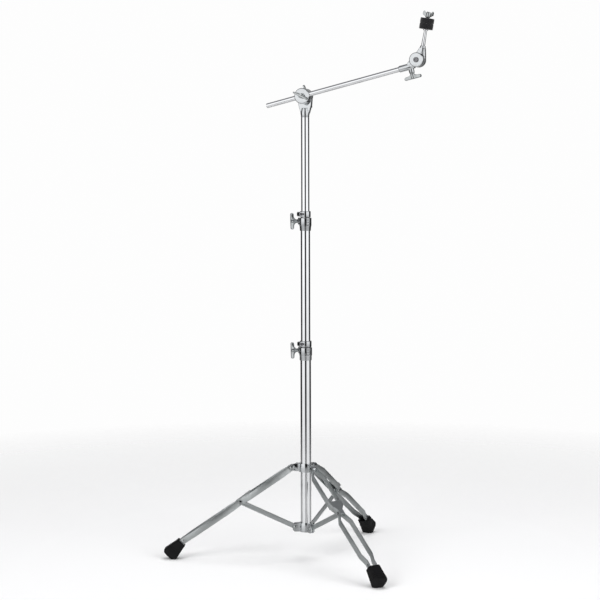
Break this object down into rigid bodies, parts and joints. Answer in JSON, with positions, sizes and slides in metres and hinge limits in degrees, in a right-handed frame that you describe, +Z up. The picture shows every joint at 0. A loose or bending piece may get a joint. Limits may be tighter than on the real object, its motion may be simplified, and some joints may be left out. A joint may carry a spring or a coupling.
{
  "type": "cymbal boom stand",
  "caption": "Chrome cymbal boom stand: folding double-strip tripod on rubber feet, telescopic mast with hinged clamps, tilting boom and a felted cymbal tilter.",
  "frame": {"origin": "the point on the floor under the middle of the stand's bounding box; the mast's axis stands at X = 0.026 m, Y = 0", "axes": "+Z up along the mast, -X along the left leg, -Y towards the side that the boom joint's disc faces"},
  "size_m": [0.7197, 0.6798, 1.4627],
  "materials": {
    "chrome_tube": "mirror-bright nickel-chrome plate on steel tube",
    "cast_chrome": "bright chrome plate on die-cast zinc, edges softened",
    "strip_steel": "satin chrome plate on flat steel bar",
    "fastener_chrome": "bright chrome plate on cast handles and pins",
    "rod_chrome": "chrome plate on turned steel",
    "dark_steel": "darker plated steel",
    "black_rubber": "matt moulded black rubber",
    "black_felt": "pressed black wool felt",
    "black_nylon": "black moulded nylon"
  },
  "bodies": {
    "base": {"base_tube": "chrome_tube", "hub_collar": "cast_chrome", "hub_pin_left": "fastener_chrome", "hub_pin_front": "fastener_chrome", "hub_pin_rear": "fastener_chrome", "lower_clamp_body": "cast_chrome", "lower_clamp_jaw": "cast_chrome", "lower_hinge_pin": "dark_steel"},
    "slide_collar": {"slide_collar": "cast_chrome", "collar_pin_left": "fastener_chrome", "collar_pin_front": "fastener_chrome", "collar_pin_rear": "fastener_chrome"},
    "collar_tee_bolt": {"collar_tee_bolt": "fastener_chrome"},
    "brace_left": {"brace_left": "strip_steel"},
    "leg_left": {"leg_strip_left_a": "strip_steel", "leg_strip_left_b": "strip_steel", "knee_saddle_left": "strip_steel", "knee_rivet_left": "fastener_chrome", "rubber_foot_left": "black_rubber"},
    "brace_front": {"brace_front": "strip_steel"},
    "leg_front": {"leg_strip_front_a": "strip_steel", "leg_strip_front_b": "strip_steel", "knee_saddle_front": "strip_steel", "knee_rivet_front": "fastener_chrome", "rubber_foot_front": "black_rubber"},
    "brace_rear": {"brace_rear": "strip_steel"},
    "leg_rear": {"leg_strip_rear_a": "strip_steel", "leg_strip_rear_b": "strip_steel", "knee_saddle_rear": "strip_steel", "knee_rivet_rear": "fastener_chrome", "rubber_foot_rear": "black_rubber"},
    "lower_bushing": {"lower_bushing": "black_nylon"},
    "middle_tube": {"middle_tube": "chrome_tube", "upper_clamp_body": "cast_chrome", "upper_clamp_jaw": "cast_chrome", "upper_hinge_pin": "dark_steel"},
    "lower_tee_bolt": {"lower_tee_bolt": "fastener_chrome"},
    "lower_lock": {"lower_memory_lock": "cast_chrome", "lower_key_bolt": "dark_steel"},
    "upper_bushing": {"upper_bushing": "black_nylon"},
    "top_tube": {"top_tube": "chrome_tube", "boom_neck": "cast_chrome"},
    "upper_tee_bolt": {"upper_tee_bolt": "fastener_chrome"},
    "upper_lock": {"upper_memory_lock": "cast_chrome", "upper_key_bolt": "dark_steel"},
    "boom_joint": {"boom_clamp": "cast_chrome", "boom_eye_bolt": "dark_steel"},
    "boom_wing_nut": {"boom_wing_nut": "fastener_chrome"},
    "boom_tee_bolt": {"boom_tee_bolt": "fastener_chrome"},
    "boom": {"boom_rod": "chrome_tube", "tilter_base": "cast_chrome", "tilter_screw": "dark_steel"},
    "tilter_tee_bolt": {"tilter_tee_bolt": "fastener_chrome"},
    "tilter": {"tilter_head": "cast_chrome", "cymbal_rod": "rod_chrome", "cup_washer": "dark_steel", "cymbal_sleeve": "black_nylon", "lower_felt": "black_felt", "upper_felt": "black_felt"},
    "top_wing_nut": {"top_wing_nut": "fastener_chrome"}
  },
  "joints": [
    {"name": "collar_slide", "type": "slide", "parent": "base", "child": "slide_collar", "axis": [0, 0, 1], "range_m": [0, 0.1678]},
    {"name": "brace_pivot_left", "type": "hinge", "parent": "base", "child": "brace_left", "pos_m": [-0.002, 0, 0.0865], "axis": [0, 1, 0], "range_deg": [0, 56.51]},
    {"name": "knee_pivot_left", "type": "hinge", "parent": "brace_left", "child": "leg_left", "pos_m": [-0.152, 0, 0.155], "axis": [0, -1, 0], "range_deg": [0, 106.99]},
    {"name": "brace_pivot_front", "type": "hinge", "parent": "base", "child": "brace_front", "pos_m": [0.04, -0.02425, 0.0865], "axis": [-0.866, -0.5, 0], "range_deg": [0, 56.51]},
    {"name": "knee_pivot_front", "type": "hinge", "parent": "brace_front", "child": "leg_front", "pos_m": [0.115, -0.15415, 0.155], "axis": [0.866, 0.5, 0], "range_deg": [0, 106.99]},
    {"name": "brace_pivot_rear", "type": "hinge", "parent": "base", "child": "brace_rear", "pos_m": [0.04, 0.02425, 0.0865], "axis": [0.866, -0.5, 0], "range_deg": [0, 56.51]},
    {"name": "knee_pivot_rear", "type": "hinge", "parent": "brace_rear", "child": "leg_rear", "pos_m": [0.115, 0.15415, 0.155], "axis": [-0.866, 0.5, 0], "range_deg": [0, 106.99]},
    {"name": "collar_bolt_turn", "type": "hinge", "parent": "slide_collar", "child": "collar_tee_bolt", "pos_m": [0.01185, 0.02451, 0.25], "axis": [-0.5, 0.866, 0], "continuous": true},
    {"name": "lower_swivel", "type": "hinge", "parent": "base", "child": "lower_bushing", "pos_m": [0.026, 0, 0.567], "axis": [0, 0, 1], "continuous": true},
    {"name": "middle_tube_slide", "type": "slide", "parent": "lower_bushing", "child": "middle_tube", "axis": [0, 0, 1], "range_m": [-0.28, 0.1]},
    {"name": "lower_bolt_turn", "type": "hinge", "parent": "base", "child": "lower_tee_bolt", "pos_m": [0.01738, 0.02133, 0.567], "axis": [-0.9272, -0.3746, 0], "continuous": true},
    {"name": "lower_lock_slide", "type": "slide", "parent": "base", "child": "lower_lock", "axis": [0, 0, 1], "range_m": [0, 0.2]},
    {"name": "upper_swivel", "type": "hinge", "parent": "middle_tube", "child": "upper_bushing", "pos_m": [0.026, 0, 0.9155], "axis": [0, 0, 1], "continuous": true},
    {"name": "top_tube_slide", "type": "slide", "parent": "upper_bushing", "child": "top_tube", "axis": [0, 0, 1], "range_m": [-0.245, 0.09]},
    {"name": "upper_bolt_turn", "type": "hinge", "parent": "middle_tube", "child": "upper_tee_bolt", "pos_m": [0.01738, 0.02133, 0.9155], "axis": [-0.9272, -0.3746, 0], "continuous": true},
    {"name": "upper_lock_slide", "type": "slide", "parent": "middle_tube", "child": "upper_lock", "axis": [0, 0, 1], "range_m": [0, 0.2]},
    {"name": "boom_tilt", "type": "hinge", "parent": "top_tube", "child": "boom_joint", "pos_m": [0.026, 0, 1.248], "axis": [-0.342, -0.9397, 0], "range_deg": [-75, 60]},
    {"name": "boom_nut_turn", "type": "hinge", "parent": "boom_joint", "child": "boom_wing_nut", "pos_m": [0.026, 0, 1.248], "axis": [0.342, 0.9397, 0], "continuous": true},
    {"name": "boom_bolt_turn", "type": "hinge", "parent": "boom_joint", "child": "boom_tee_bolt", "pos_m": [0.026, 0, 1.248], "axis": [-0.342, -0.9397, 0], "continuous": true},
    {"name": "boom_slide", "type": "slide", "parent": "boom_joint", "child": "boom", "axis": [-0.9132, 0.3324, -0.2357], "range_m": [-0.075, 0.245]},
    {"name": "tilter_bolt_turn", "type": "hinge", "parent": "boom", "child": "tilter_tee_bolt", "pos_m": [0.29838, -0.11829, 1.31987], "axis": [0.2214, -0.0806, -0.9718], "continuous": true},
    {"name": "tilter_tilt", "type": "hinge", "parent": "boom", "child": "tilter", "pos_m": [0.3199, -0.10942, 1.33598], "axis": [-0.342, -0.9397, 0], "range_deg": [-75, 75]},
    {"name": "top_nut_turn", "type": "hinge", "parent": "tilter", "child": "top_wing_nut", "pos_m": [0.34233, -0.11758, 1.44391], "axis": [0.157, -0.0572, 0.9859], "continuous": true}
  ],
  "couplings": [
    {"joint": "brace_pivot_left", "follows": "collar_slide", "rad_per_m": 5.8721},
    {"joint": "knee_pivot_left", "follows": "collar_slide", "rad_per_m": 11.123},
    {"joint": "brace_pivot_front", "follows": "collar_slide", "rad_per_m": 5.8721},
    {"joint": "knee_pivot_front", "follows": "collar_slide", "rad_per_m": 11.123},
    {"joint": "brace_pivot_rear", "follows": "collar_slide", "rad_per_m": 5.8721},
    {"joint": "knee_pivot_rear", "follows": "collar_slide", "rad_per_m": 11.123}
  ]
}
